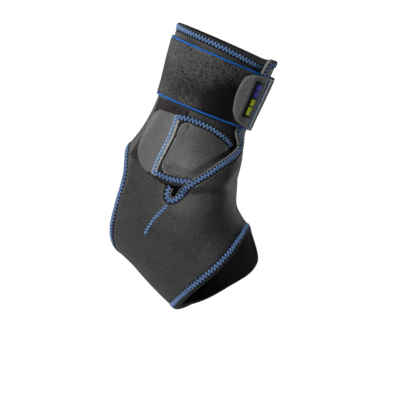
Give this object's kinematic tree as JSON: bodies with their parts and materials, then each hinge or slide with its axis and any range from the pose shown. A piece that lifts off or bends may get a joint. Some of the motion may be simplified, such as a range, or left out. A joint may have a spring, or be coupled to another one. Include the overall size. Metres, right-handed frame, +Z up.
{
  "type": "ankle brace",
  "caption": "Wrap-around neoprene ankle brace in worn form, open at leg, heel and toes, with an elastic strap round the leg and a crossover strap on the outer ankle.",
  "frame": {"origin": "centre of the ankle joint, inside the hollow where the foot sits", "axes": "+Z up along the leg, +X to the toes, -Y to the little-toe side"},
  "size_m": [0.1371, 0.0983, 0.2325],
  "materials": {
    "neoprene": "dark grey knit-faced neoprene",
    "edge_binding": "dark edge band under blue zigzag thread",
    "loop_pile": "very dark loop pile",
    "hook_tape": "smooth grey tape backed with hooks",
    "plush_elastic": "black plush elastic with blue edges",
    "label_weave": "black woven label with plain bars"
  },
  "bodies": {
    "root": {"wrap_body": "neoprene", "top_rim_binding": "edge_binding", "toe_rim_binding": "edge_binding", "heel_rim_binding": "edge_binding", "front_edge_binding": "edge_binding", "neck_binding": "edge_binding", "loop_panel": "loop_pile", "crossover_strap": "neoprene", "crossover_hook_tab": "hook_tape", "elastic_strap": "plush_elastic", "strap_hook_tab": "hook_tape", "strap_label": "label_weave"}
  },
  "joints": []
}
